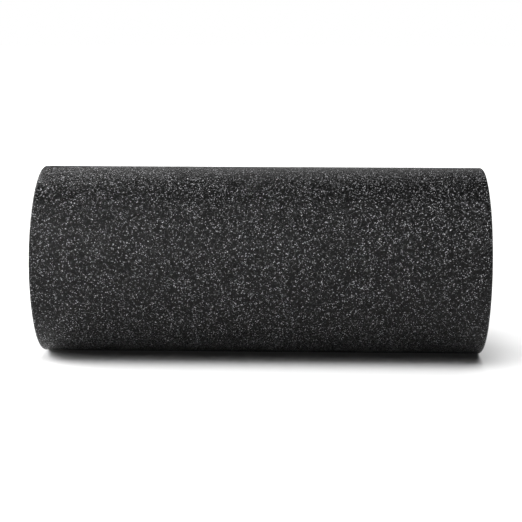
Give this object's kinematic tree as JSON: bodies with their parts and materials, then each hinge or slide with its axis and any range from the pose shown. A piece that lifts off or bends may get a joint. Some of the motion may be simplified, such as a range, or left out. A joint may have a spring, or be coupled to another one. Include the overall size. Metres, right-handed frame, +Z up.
{
  "type": "foam roller",
  "caption": "Short massage roller on its side: a plain cylinder of dense fine-grained black foam round a rigid open tube, with a trim ring in each end.",
  "frame": {"origin": "centre of the roller, on its axis, halfway between its two end faces", "axes": "+X along the roller's axis, towards the right end as seen from the front; +Y to the back; +Z up with the roller lying on its side"},
  "size_m": [0.33, 0.14, 0.14],
  "materials": {
    "eva_foam": "matte",
    "contact_adhesive": "satin",
    "extruded_abs": "satin",
    "moulded_abs": "matte"
  },
  "bodies": {
    "root": {"foam_sleeve": "eva_foam", "seam_glue": "contact_adhesive", "core_adhesive": "contact_adhesive", "core_tube": "extruded_abs", "left_end_ring": "moulded_abs", "right_end_ring": "moulded_abs"}
  },
  "joints": []
}
